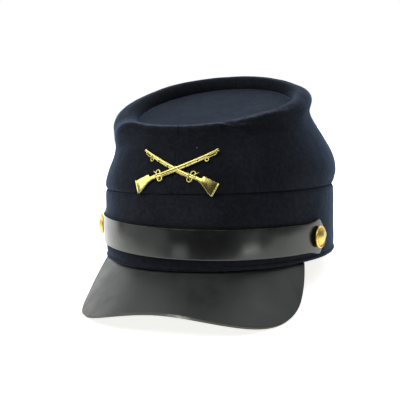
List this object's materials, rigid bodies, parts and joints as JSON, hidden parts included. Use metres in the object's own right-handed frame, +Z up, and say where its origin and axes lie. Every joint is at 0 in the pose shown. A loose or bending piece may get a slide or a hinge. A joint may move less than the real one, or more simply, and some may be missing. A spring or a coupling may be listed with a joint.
{
  "type": "kepi cap",
  "caption": "Kepi cap with a leaning wool crown, a round top sunk inside a rolled rim, a drooping leather peak, a leather strap with domed side buttons and a badge of crossed long guns.",
  "frame": {"origin": "on the surface that the cap rests on, under the middle of its box", "axes": "+Z up; the front with the peak and badge faces -Y; the wearer's left is at +X; the cap is tipped back by nine and a half degrees, as it rests on the two lobes of its peak and on the back of its hem"},
  "size_m": [0.1776, 0.2476, 0.144],
  "materials": {
    "wool": "navy blue felted wool",
    "peak_leather": "black leather with a soft sheen",
    "strap_leather": "polished black leather",
    "brass": "polished yellow brass"
  },
  "bodies": {
    "root": {"band": "wool", "crown_left": "wool", "crown_right": "wool", "top_disc": "wool", "peak": "peak_leather", "chin_strap": "strap_leather", "button_left": "brass", "button_right": "brass", "badge": "brass"}
  },
  "joints": []
}
